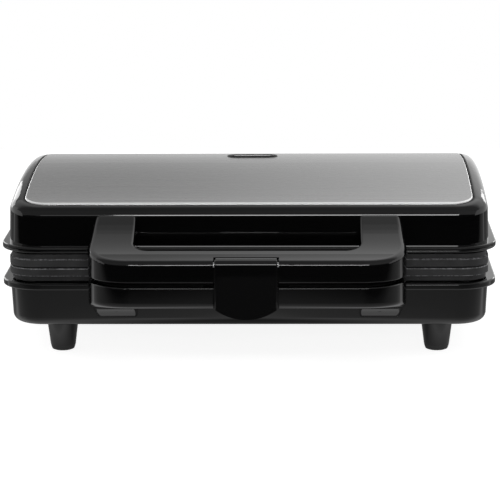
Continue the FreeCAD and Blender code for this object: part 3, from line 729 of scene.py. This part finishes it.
def turn_up(mesh: bmesh.types.BMesh, profile: list[Pair], segments: int) -> None:
    """Turns a profile once round the Z axis and closes it where it meets the axis.

    Args:
        mesh: bmesh that takes the shape.
        profile: radius and height of each point.
        segments: number of steps in the full turn.
    """
    verts = [mesh.verts.new((radius, 0.0, height)) for radius, height in profile]
    edges = [mesh.edges.new(pair) for pair in zip(verts, verts[1:])]
    bmesh.ops.spin(mesh, geom=verts + edges, cent=(0.0, 0.0, 0.0), axis=(0.0, 0.0, 1.0),
                   angle=math.tau, steps=segments, use_merge=True)
    bmesh.ops.remove_doubles(mesh, verts=mesh.verts, dist=MERGE_DISTANCE)


def shade_by_angle(piece: bpy.types.Object, degrees: float = 35.0) -> None:
    """Shades a piece smooth, and keeps the edges crisp that are sharper than an angle."""
    piece.data.shade_smooth()
    piece.data.set_sharp_from_angle(angle=math.radians(degrees))


class Finisher:
    """Makes each finish once and dresses nodes and pieces in it."""

    def __init__(self) -> None:
        """Builds every finish in the list."""
        self.materials = {finish.slot: finish.material() for finish in FINISHES}
        self.special = {"lid_shell": LID_FINISH.material()}

    def dress_node(self, name: str, slot: Slot) -> None:
        """Puts a finish on a CAD node.

        Args:
            name: name of the node.
            slot: slot that names the finish.
        """
        node = frame["nodes"][name]
        for worn in node.material_slots:
            worn.material = self.special.get(name, self.materials[slot])
        LOG.info("node %s in %s", name, slot.value)

    def dress_piece(self, piece: bpy.types.Object, slot: Slot, body: Body, node: str | None = None) -> None:
        """Finishes a new piece, which may stand for a CAD node.

        Args:
            piece: the new object.
            slot: slot that names its finish.
            body: body that carries it.
            node: node that it replaces, if any.
        """
        piece.data.materials.append(self.materials[slot])
        shade_by_angle(piece)
        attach(piece, body.value)
        if node:
            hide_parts(node)
        LOG.info("piece %s on %s in %s", piece.name, body.value, slot.value)


@dataclass
class SubAssembly:
    """Nodes that belong together, each with the finish that it wears."""

    finisher: Finisher

    def nodes(self) -> dict[str, Slot]:
        """CAD nodes that stay, with their finishes."""
        return {}

    def build(self) -> None:
        """Makes the new pieces, where there are any."""

    def dress(self) -> None:
        """Puts the finishes on the nodes that stay."""
        for name, slot in self.nodes().items():
            self.finisher.dress_node(name, slot)


@dataclass
class BaseHousing(SubAssembly):
    """Tub with the mains terminals, the gland and rubber feet with a hollow tread."""

    foot_height: float = 0.003
    foot_taper: float = 0.0004
    foot_round: float = 0.0015
    tread_radius: float = 0.0032
    tread_depth: float = 0.0007
    tread_slope: float = 0.0004
    stem_radius: float = 0.0032
    segments: int = 48

    def nodes(self) -> dict[str, Slot]:
        """The tub, terminals and gland."""
        return {"base_shell": Slot.GLOSS_BLACK, "terminal_block": Slot.WHITE_INSULATOR,
                "cord_gland": Slot.RUBBER}

    def build(self) -> None:
        """Makes the four feet."""
        for end in ("front", "rear"):
            for side in ("left", "right"):
                self.foot(f"{end}_{side}_foot")

    def foot(self, node: str) -> None:
        """Turns up one foot with its stem and the hollow in its tread.

        Args:
            node: node that the foot replaces.
        """
        low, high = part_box(node)
        outer = (high.x - low.x) / 2
        tip = outer - self.foot_taper
        round_in = self.foot_round * (1.0 - math.sqrt(0.5))
        profile = [
            (0.0, self.tread_depth), (self.tread_radius, self.tread_depth),
            (self.tread_radius + self.tread_slope, 0.0), (tip - self.foot_round, 0.0),
            (tip - round_in, round_in), (tip, self.foot_round), (outer, self.foot_height),
            (self.stem_radius, self.foot_height), (self.stem_radius, high.z - low.z), (0.0, high.z - low.z),
        ]
        mesh = bmesh.new()
        turn_up(mesh, profile, self.segments)
        bmesh.ops.recalc_face_normals(mesh, faces=mesh.faces)
        bmesh.ops.translate(mesh, vec=((low.x + high.x) / 2, (low.y + high.y) / 2, low.z), verts=mesh.verts)
        self.finisher.dress_piece(piece_of(f"{node}_tread", mesh), Slot.RUBBER, Body.BASE, node)


@dataclass
class LidHousing(SubAssembly):
    """Domed cover with the brushed sheet let into its top."""

    def nodes(self) -> dict[str, Slot]:
        """The moulded cover and its sheet."""
        return {"lid_shell": Slot.GLOSS_BLACK, "top_panel": Slot.BRUSHED_STEEL}


@dataclass
class LampWindow(SubAssembly):
    """Slot-shaped window with the two lamps under it."""

    def nodes(self) -> dict[str, Slot]:
        """The window, the lamps and their holder."""
        return {"indicator_lens": Slot.LENS, "lamp_holder": Slot.WHITE_INSULATOR,
                "power_lamp": Slot.RED_LAMP, "ready_lamp": Slot.GREEN_LAMP}


@dataclass
class BakingPlates(SubAssembly):
    """Ring-mould plates with the elements, shields and sensors behind them."""

    def nodes(self) -> dict[str, Slot]:
        """Plates, elements, shields, thermostat and fuse.

        Returns:
            Slot of each node that stays.
        """
        dressed = {"thermostat": Slot.BROWN_INSULATOR, "thermal_fuse": Slot.FUSE}
        for end in ("upper", "lower"):
            dressed[f"{end}_plate"] = Slot.CAST_PLATE
            dressed[f"{end}_heating_element"] = Slot.ELEMENT
            dressed[f"{end}_heat_shield"] = Slot.SHIELD
        return dressed


@dataclass
class Fasteners(SubAssembly):
    """Cross-recessed pan-head screws of the plates and the grip."""

    head_radius: float = SCREW_HEAD_RADIUS
    head_height: float = 0.0024
    head_round: float = 0.0012
    recess_reach: float = 0.0019
    recess_width: float = 0.00085
    recess_depth: float = 0.0014
    recess_taper: float = 0.55
    thread_depth: float = 0.0004
    thread_pitch: float = 0.0014
    thread_flank: float = 0.6
    thread_root: float = 1.2
    thread_run_out: float = 3.0
    thread_steps: int = 16
    point_length: float = 0.0012
    plate_shank: float = 0.0018
    grip_shank: float = 0.00175
    segments: int = 36

    def build(self) -> None:
        """Makes the four groups of screws."""
        upright, turned_over = Matrix(), Matrix.Rotation(math.pi, 4, "X")
        forward = Matrix.Rotation(-math.pi / 2, 4, "X")
        self.group("upper_plate_screws", Body.LID, self.plate_shank, upright)
        self.group("lower_plate_screws", Body.BASE, self.plate_shank, turned_over)
        self.group("upper_handle_screws", Body.LID, self.grip_shank, forward)
        self.group("lower_handle_screws", Body.BASE, self.grip_shank, forward)

    def group(self, node: str, body: Body, shank: float, turn: Matrix) -> None:
        """Makes the like screws that stand for one node, at the corners of its box.

        Args:
            node: node that they replace.
            body: body that carries them.
            shank: outer radius of the thread.
            turn: turn from a screw whose head is up to these.
        """
        low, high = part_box(node)
        axis = turn.to_3x3() @ Vector((0.0, 0.0, 1.0))
        middle = (low + high) / 2
        reach = (high - low) / 2
        length = 2 * abs(axis.dot(reach)) - self.head_height
        seat = middle + axis * (abs(axis.dot(reach)) - self.head_height)
        spread = [0.0 if round(axis[i]) else max(reach[i] - self.head_radius, 0.0) for i in range(3)]
        signs = [(-1, 1) if offset > self.head_radius else (0,) for offset in spread]
        screw = self.screw(shank, length)
        mesh = bmesh.new()
        for corner in itertools.product(*signs):
            offset = Vector([sign * distance for sign, distance in zip(corner, spread)])
            first = len(mesh.verts)
            mesh.from_mesh(screw)
            mesh.verts.ensure_lookup_table()
            place = Matrix.Translation(seat + offset) @ turn
            bmesh.ops.transform(mesh, matrix=place, verts=mesh.verts[first:])
        bpy.data.meshes.remove(screw)
        self.finisher.dress_piece(piece_of(f"{node}_cross", mesh), Slot.SCREW, body, node)

    def screw(self, shank: float, length: float) -> bpy.types.Mesh:
        """Makes one screw with its head up and its seat at the origin.

        Args:
            shank: outer radius of the thread.
            length: length under the head.

        Returns:
            The screw's mesh.
        """
        core = shank - self.thread_depth
        flat = self.head_radius - self.head_round
        bevel = self.head_round * (1.0 - math.sqrt(0.5))
        profile = [
            (flat, self.head_height), (self.head_radius - bevel, self.head_height - bevel),
            (self.head_radius, self.head_height - self.head_round), (self.head_radius, 0.0), (core, 0.0),
            (core, self.point_length - length), (0.0, -length),
        ]
        mesh = bmesh.new()
        turn_up(mesh, profile, self.segments)
        self.recess(mesh, [edge for edge in mesh.edges if edge.is_boundary])
        self.thread(mesh, shank, length - self.point_length)
        bmesh.ops.recalc_face_normals(mesh, faces=mesh.faces)
        data = bpy.data.meshes.new("screw")
        mesh.to_mesh(data)
        mesh.free()
        return data

    def recess(self, mesh: bmesh.types.BMesh, rim: list[bmesh.types.BMEdge]) -> None:
        """Closes a head's top with a face that has a cross sunk into it.

        Args:
            mesh: bmesh of the screw.
            rim: edges of the open top.
        """
        half = self.recess_width / 2
        grid = bmesh.ops.create_grid(mesh, x_segments=3, y_segments=3, size=self.recess_reach)["verts"]
        for vert in grid:
            for axis in (0, 1):
                if abs(vert.co[axis]) < self.recess_reach / 2:
                    vert.co[axis] = math.copysign(half, vert.co[axis])
            vert.co.z = self.head_height
        faces = list(dict.fromkeys(face for vert in grid for face in vert.link_faces))
        corners = [face for face in faces if min(map(abs, face.calc_center_median().xy)) > half]
        bmesh.ops.delete(mesh, geom=corners, context="FACES")
        cross = [face for face in faces if face.is_valid]
        outline = dict.fromkeys(edge for face in cross for edge in face.edges if edge.is_boundary)
        bmesh.ops.bridge_loops(mesh, edges=rim + list(outline))
        sunk = bmesh.ops.extrude_face_region(mesh, geom=cross)["geom"]
        bmesh.ops.delete(mesh, geom=[face for face in cross if face.is_valid], context="FACES_ONLY")
        floor = [part for part in sunk if isinstance(part, bmesh.types.BMVert)]
        bmesh.ops.translate(mesh, vec=(0.0, 0.0, -self.recess_depth), verts=floor)
        bmesh.ops.scale(mesh, vec=(self.recess_taper, self.recess_taper, 1.0), verts=floor)

    def thread(self, mesh: bmesh.types.BMesh, shank: float, length: float) -> None:
        """Winds a thread round the shank.

        Args:
            mesh: bmesh of the screw.
            shank: outer radius of the thread.
            length: length of the threaded part.
        """
        root = shank - self.thread_root * self.thread_depth
        flank = self.thread_flank * self.thread_pitch / 2
        turns = (length - self.thread_run_out * flank) / self.thread_pitch
        steps = int(turns * self.thread_steps)
        section = ((root, -length), (shank, flank - length), (root, 2 * flank - length))
        verts = [mesh.verts.new((radius, 0.0, height)) for radius, height in section]
        edges = [mesh.edges.new((verts[i - 1], verts[i])) for i in range(3)]
        end = bmesh.ops.spin(mesh, geom=verts + edges, cent=(0.0, 0.0, 0.0), axis=(0.0, 0.0, 1.0),
                             dvec=(0.0, 0.0, self.thread_pitch / self.thread_steps),
                             angle=math.tau * steps / self.thread_steps, steps=steps)["geom_last"]
        for loop in (verts, [part for part in end if isinstance(part, bmesh.types.BMVert)]):
            bmesh.ops.contextual_create(mesh, geom=loop)


@dataclass
class Grip(SubAssembly):
    """Two grip halves with their covers, plugs in the lower half, and the latch that holds them shut."""

    hole_past_screw: float = 0.001
    plug_radius: float = 0.0018
    plug_length: float = 0.0009
    underside_drop: float = 0.00143
    underside_slope: float = 27.3
    segments: int = 64

    def nodes(self) -> dict[str, Slot]:
        """Grip halves, covers, latch and its pin."""
        return {"upper_handle": Slot.GLOSS_BLACK, "lower_handle": Slot.GLOSS_BLACK,
                "upper_handle_cover": Slot.SATIN_BLACK, "lower_handle_cover": Slot.SATIN_BLACK,
                "latch": Slot.GLOSS_BLACK, "latch_pin": Slot.PIN}

    def build(self) -> None:
        """Closes the ends of the lower arms' screw holes, flush with the sloping underside of the arms."""
        low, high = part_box("lower_handle_screws")
        end = low.y - self.hole_past_screw
        level = (low.z + high.z) / 2
        mesh = bmesh.new()
        along_y = Matrix.Rotation(math.pi / 2, 4, "X")
        for x in (low.x + SCREW_HEAD_RADIUS, high.x - SCREW_HEAD_RADIUS):
            place = Matrix.Translation((x, end + self.plug_length / 2, level)) @ along_y
            bmesh.ops.create_cone(mesh, cap_ends=True, segments=self.segments, radius1=self.plug_radius,
                                  radius2=self.plug_radius, depth=self.plug_length, matrix=place)
        slope = math.radians(self.underside_slope)
        cut = bmesh.ops.bisect_plane(mesh, geom=mesh.verts[:] + mesh.edges[:] + mesh.faces[:],
                                     plane_co=(0.0, end, level - self.underside_drop),
                                     plane_no=(0.0, -math.sin(slope), -math.cos(slope)), clear_outer=True)
        rims = [part for part in cut["geom_cut"] if isinstance(part, bmesh.types.BMEdge)]
        bmesh.ops.holes_fill(mesh, edges=rims)
        bmesh.ops.recalc_face_normals(mesh, faces=mesh.faces)
        self.finisher.dress_piece(piece_of("lower_arm_plugs", mesh), Slot.GLOSS_BLACK, Body.BASE)


@dataclass
class Hinges(SubAssembly):
    """Pins that the lid turns on, with chamfered ends and a centre drilled in each."""

    chamfer: float = 0.0004
    centre_radius: float = 0.0008
    centre_depth: float = 0.0007
    segments: int = 32

    def build(self) -> None:
        """Makes the two hinge pins."""
        for side in ("left", "right"):
            self.pin(f"{side}_hinge_pin")

    def pin(self, node: str) -> None:
        """Turns up one pin along X.

        Args:
            node: node that the pin replaces.
        """
        low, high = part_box(node)
        middle = (low + high) / 2
        radius = (high.z - low.z) / 2
        half = (high.x - low.x) / 2
        end = [(0.0, half - self.centre_depth), (self.centre_radius, half),
               (radius - self.chamfer, half), (radius, half - self.chamfer)]
        mesh = bmesh.new()
        turn_up(mesh, end + [(distance, -height) for distance, height in reversed(end)], self.segments)
        bmesh.ops.recalc_face_normals(mesh, faces=mesh.faces)
        place = Matrix.Translation(middle) @ Matrix.Rotation(math.pi / 2, 4, "Y")
        bmesh.ops.transform(mesh, matrix=place, verts=mesh.verts)
        self.finisher.dress_piece(piece_of(f"{node}_turned", mesh), Slot.PIN, Body.BASE, node)


@dataclass(frozen=True)
class Card:
    """Curved card of the vault round the part, which only mirror finishes see.

    The sweep runs in degrees from the front floor over the top to the back floor.
    """

    name: str
    sweep: Pair
    half_width: float
    shades: Pair


@dataclass(frozen=True)
class Softbox:
    """Area lamp. The brightness is that of its face, where 1 is white."""

    name: str
    place: Triple
    aim: Triple
    size: Pair
    bright: float
    mirrored: bool = True


CARDS = (
    Card("front_flag", (-3.0, 15.0), 6.0, (0.03, 0.03)),
    Card("front_high_card", (15.0, 62.0), 6.0, (0.32, 0.42)),
    Card("ceiling_card", (62.0, 98.0), 5.0, (0.28, 0.36)),
    Card("crest_card_0", (98.0, 102.0), 5.0, (0.38, 0.5)),
    Card("crest_card_1", (102.0, 106.0), 5.0, (0.46, 0.65)),
    Card("crest_card_2", (106.0, 110.0), 5.0, (0.54, 0.8)),
    Card("crest_card_3", (110.0, 114.0), 5.0, (0.62, 0.95)),
    Card("back_high_card", (114.0, 142.0), 3.0, (0.74, 1.25)),
    Card("back_upper_card", (142.0, 158.0), 2.0, (0.4, 0.98)),
    Card("back_middle_card", (158.0, 167.0), 2.0, (0.43, 0.92)),
    Card("back_step_card", (167.0, 173.0), 2.0, (0.56, 0.96)),
    Card("back_low_card", (173.0, 181.0), 2.0, (0.84, 0.98)),
)
SOFTBOXES = (
    Softbox("overhead softbox", (0.15, 0.1, 1.3), (0.0, 0.0, 0.0), (1.6, 1.2), 0.9, mirrored=False),
    Softbox("front strip", (0.13, -1.5, 0.5), (0.0, -0.1, 0.06), (0.64, 0.2), 11.0),
    Softbox("strip end", (-0.24, -1.5, 0.5), (0.0, -0.1, 0.06), (0.1, 0.2), 0.8),
    Softbox("left box", (-0.96, 1.27, 0.46), (-0.1, 0.0, 0.07), (0.9, 0.7), 2.3),
    Softbox("right box", (0.8, 1.3, 0.4), (0.1, 0.0, 0.07), (0.4, 0.4), 3.0),
)


def seen_plainly(tree: bpy.types.NodeTree) -> Socket:
    """Weight that is 1 for what the camera, mirror and clear finishes see.

    Args:
        tree: node tree of the background.

    Returns:
        The weight.
    """
    path = tree.nodes.new("ShaderNodeLightPath")
    weight = path.outputs["Is Camera Ray"]
    for name in ("Is Glossy Ray", "Is Transmission Ray"):
        weight = worked_out(tree, Sum.MAXIMUM, weight, path.outputs[name])
    return weight


def for_mirrors_only(card: bpy.types.Object) -> None:
    """Hides a card from the camera, matt surfaces, shadows and clear finishes.

    Args:
        card: card to hide.
    """
    card.visible_camera = False
    card.visible_diffuse = False
    card.visible_shadow = False
    card.visible_transmission = False


def bare_material(piece: bpy.types.Object) -> bpy.types.NodeTree:
    """Gives a piece of the studio a material of its own, without nodes.

    Args:
        piece: sheet or card.

    Returns:
        The material's node tree.
    """
    material = bpy.data.materials.new(piece.name)
    material.use_nodes = True
    material.node_tree.nodes.clear()
    piece.data.materials.append(material)
    return material.node_tree


def only_glow(tree: bpy.types.NodeTree) -> bpy.types.Node:
    """Makes a material that only glows.

    Args:
        tree: node tree of the material.

    Returns:
        Its emission node.
    """
    glow = tree.nodes.new("ShaderNodeEmission")
    output = tree.nodes.new("ShaderNodeOutputMaterial")
    tree.links.new(glow.outputs["Emission"], output.inputs["Surface"])
    return glow


@dataclass
class Studio:
    """Pale floor, soft light, a vault of cards and the camera."""

    floor_low: Pair = (-1.6, -2.4)
    floor_high: Pair = (1.6, 0.6)
    floor_level: float = -0.0002
    floor_white: float = 0.3
    floor_glow: float = 0.89
    card_level: float = -0.0001
    card_spread: float = 0.5
    card_stops: tuple[Pair, ...] = (
        (0.05, 0.22), (0.09, 0.24), (0.105, 0.5), (0.125, 0.95), (0.15, 0.5), (0.2, 0.34),
        (0.25, 0.3), (0.29, 0.24), (0.33, 0.1), (0.36, 0.02), (0.6, 0.015))
    flag_low: Pair = (-0.0235, -0.36)
    flag_high: Pair = (0.0135, -0.205)
    flag_level: float = -0.00005
    flag_shade: float = 0.06
    vault_radius: float = 2.2
    vault_steps: int = 12
    shade_range: Pair = (-0.2, 0.5)
    ambient: float = 0.8
    lens: float = 177.5
    sensor: float = 36.0
    eye: Triple = (0.031, -1.30285, 0.3096)
    pitch: float = -11.577
    yaw: float = 1.392
    roll: float = -0.35

    def build(self) -> None:
        """Makes the whole studio."""
        self.floor()
        self.floor_card()
        self.latch_flag()
        for card in CARDS:
            self.hang(card)
        self.world()
        for box in SOFTBOXES:
            self.lamp(box)
        self.camera()

    def sheet(self, name: str, height: float, low: Pair, high: Pair) -> bpy.types.Object:
        """Lays a flat sheet on the floor.

        Args:
            name: name of the sheet.
            height: height it lies at.
            low: its near left corner.
            high: its far right corner.

        Returns:
            The sheet.
        """
        mesh = bmesh.new()
        bmesh.ops.create_grid(mesh, x_segments=1, y_segments=1, size=0.5)
        size, middle = Vector(high) - Vector(low), (Vector(high) + Vector(low)) / 2
        bmesh.ops.scale(mesh, vec=(*size, 1.0), verts=mesh.verts)
        bmesh.ops.translate(mesh, vec=(*middle, height), verts=mesh.verts)
        sheet = piece_of(name, mesh)
        return sheet

    def floor(self) -> None:
        """Lays a pale floor that keeps a soft shadow."""
        tree = bare_material(self.sheet("floor", self.floor_level, self.floor_low, self.floor_high))
        seen, lit = (tree.nodes.new(f"ShaderNode{kind}") for kind in ("Emission", "BsdfDiffuse"))
        glow = worked_out(tree, Sum.MULTIPLY, seen_plainly(tree), self.floor_glow)
        tree.links.new(glow, seen.inputs["Strength"])
        lit.inputs["Color"].default_value = (self.floor_white,) * 3 + (1.0,)
        both = tree.nodes.new("ShaderNodeAddShader")
        tree.links.new(seen.outputs["Emission"], both.inputs[0])
        tree.links.new(lit.outputs["BSDF"], both.inputs[1])
        output = tree.nodes.new("ShaderNodeOutputMaterial")
        tree.links.new(both.outputs["Shader"], output.inputs["Surface"])

    def floor_card(self) -> None:
        """Lays a card on the floor, grey close by and dark further off, which only mirror finishes see."""
        card = self.sheet("floor_card", self.card_level, self.floor_low, self.floor_high)
        tree = bare_material(card)
        tree.links.new(self.card_tone(tree), only_glow(tree).inputs["Color"])
        for_mirrors_only(card)

    def latch_flag(self) -> None:
        """Lays a dark flag in front of the latch, which only mirror finishes see."""
        flag = self.sheet("latch_flag", self.flag_level, self.flag_low, self.flag_high)
        only_glow(bare_material(flag)).inputs["Strength"].default_value = self.flag_shade
        for_mirrors_only(flag)

    def card_tone(self, tree: bpy.types.NodeTree) -> Socket:
        """Tone of the floor card, by the distance in front of the part and to its sides.

        Args:
            tree: node tree of the card.

        Returns:
            The colour.
        """
        aside = worked_out(tree, Sum.ABSOLUTE, coordinate(tree, "X"))
        spread = worked_out(tree, Sum.MULTIPLY, aside, self.card_spread)
        distance = worked_out(tree, Sum.SUBTRACT, spread, coordinate(tree, "Y"))
        ramp = tree.nodes.new("ShaderNodeValToRGB")
        stops = ramp.color_ramp.elements
        while len(stops) < len(self.card_stops):
            stops.new(0.5)
        for stop, (position, share) in zip(stops, self.card_stops):
            stop.position = position
            stop.color = (share, share, share, 1.0)
        tree.links.new(distance, ramp.inputs["Fac"])
        return ramp.outputs["Color"]

    def hang(self, card: Card) -> None:
        """Hangs one curved card, which no camera, shadow or matt surface sees.

        Args:
            card: card to hang.
        """
        start, end = (math.radians(angle) for angle in card.sweep)
        mesh = bmesh.new()
        y, z = -self.vault_radius * math.cos(start), self.vault_radius * math.sin(start)
        verts = [mesh.verts.new((side * card.half_width, y, z)) for side in (-1, 1)]
        edge = mesh.edges.new(verts)
        bmesh.ops.spin(mesh, geom=verts + [edge], cent=(0.0, 0.0, 0.0), axis=(-1.0, 0.0, 0.0),
                       angle=end - start, steps=self.vault_steps)
        piece = piece_of(card.name, mesh)
        tree = bare_material(piece)
        shade = mapped(tree, coordinate(tree, "X"), (*self.shade_range, *card.shades), Fade.LINEAR)
        tree.links.new(shade, only_glow(tree).inputs["Strength"])
        for_mirrors_only(piece)

    def world(self) -> None:
        """Sets a white room for the camera, mirror and clear finishes, and a softer one for the rest."""
        world = bpy.data.worlds.new("studio")
        bpy.context.scene.world = world
        world.use_nodes = True
        tree = world.node_tree
        tree.nodes.clear()
        room = tree.nodes.new("ShaderNodeBackground")
        shade = mapped(tree, seen_plainly(tree), (0.0, 1.0, self.ambient, 1.0), Fade.LINEAR)
        tree.links.new(shade, room.inputs["Strength"])
        room.inputs["Color"].default_value = WHITE
        output = tree.nodes.new("ShaderNodeOutputWorld")
        tree.links.new(room.outputs["Background"], output.inputs["Surface"])

    def lamp(self, box: Softbox) -> None:
        """Hangs one softbox.

        Args:
            box: softbox to hang.
        """
        light = bpy.data.lights.new(box.name, "AREA")
        light.shape = "RECTANGLE"
        light.size, light.size_y = box.size
        light.energy = box.bright * math.pi * math.prod(box.size)
        lamp = bpy.data.objects.new(box.name, light)
        bpy.context.scene.collection.objects.link(lamp)
        lamp.location = box.place
        lamp.rotation_euler = (Vector(box.aim) - Vector(box.place)).to_track_quat("-Z", "Y").to_euler()
        lamp.visible_camera = False
        lamp.visible_glossy = box.mirrored

    def camera(self) -> None:
        """Sets the camera up at the photographed angle."""
        data = bpy.data.cameras.new("camera")
        data.lens = self.lens
        data.sensor_width = self.sensor
        camera = bpy.data.objects.new("camera", data)
        bpy.context.scene.collection.objects.link(camera)
        camera.location = self.eye
        level = math.pi / 2
        turn = Euler((level + math.radians(self.pitch), 0.0, math.radians(self.yaw))).to_matrix()
        turn = turn @ Matrix.Rotation(math.radians(self.roll), 3, "Z")
        camera.rotation_euler = turn.to_euler()
        bpy.context.scene.camera = camera


def main() -> None:
    """Builds and dresses each sub-assembly, then the studio round them."""
    logging.basicConfig(level=logging.INFO, format="%(message)s")
    bpy.context.scene.view_settings.view_transform = "Standard"
    finisher = Finisher()
    for kind in (BaseHousing, LidHousing, LampWindow, BakingPlates, Fasteners, Grip, Hinges):
        part = kind(finisher)
        part.build()
        part.dress()
    Studio().build()


if __name__ == "__main__":
    main()
